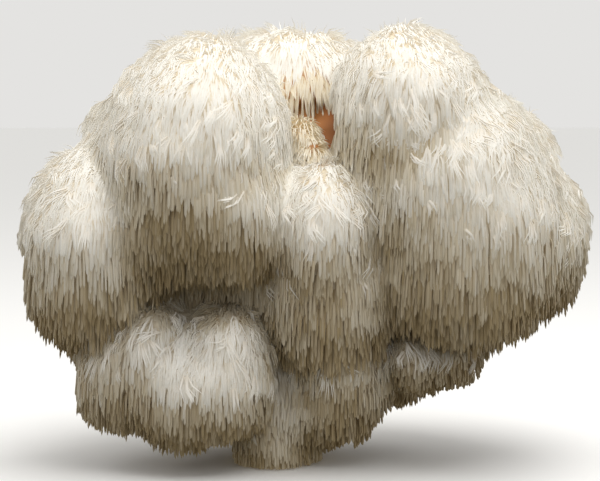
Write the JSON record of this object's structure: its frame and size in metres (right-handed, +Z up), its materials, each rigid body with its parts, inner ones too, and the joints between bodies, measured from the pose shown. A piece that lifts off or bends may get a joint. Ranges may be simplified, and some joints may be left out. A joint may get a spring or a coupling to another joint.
{
  "type": "lions mane mushroom",
  "caption": "Whole picked lion's mane mushroom: a clump of rounded lobes covered all round in drooping pointed spines, cut flat at the back and resting on a small flat spot.",
  "frame": {"origin": "middle of the flat resting spot under the mushroom", "axes": "+Z up as it grew, -Y towards the front that the picture shows, +X to the right seen from the front; the cut patch faces +Y"},
  "size_m": [0.2603, 0.1653, 0.2024],
  "materials": {
    "mushroom_flesh": "matt"
  },
  "bodies": {
    "root": {"lions_mane_mushroom": "mushroom_flesh"}
  },
  "joints": []
}
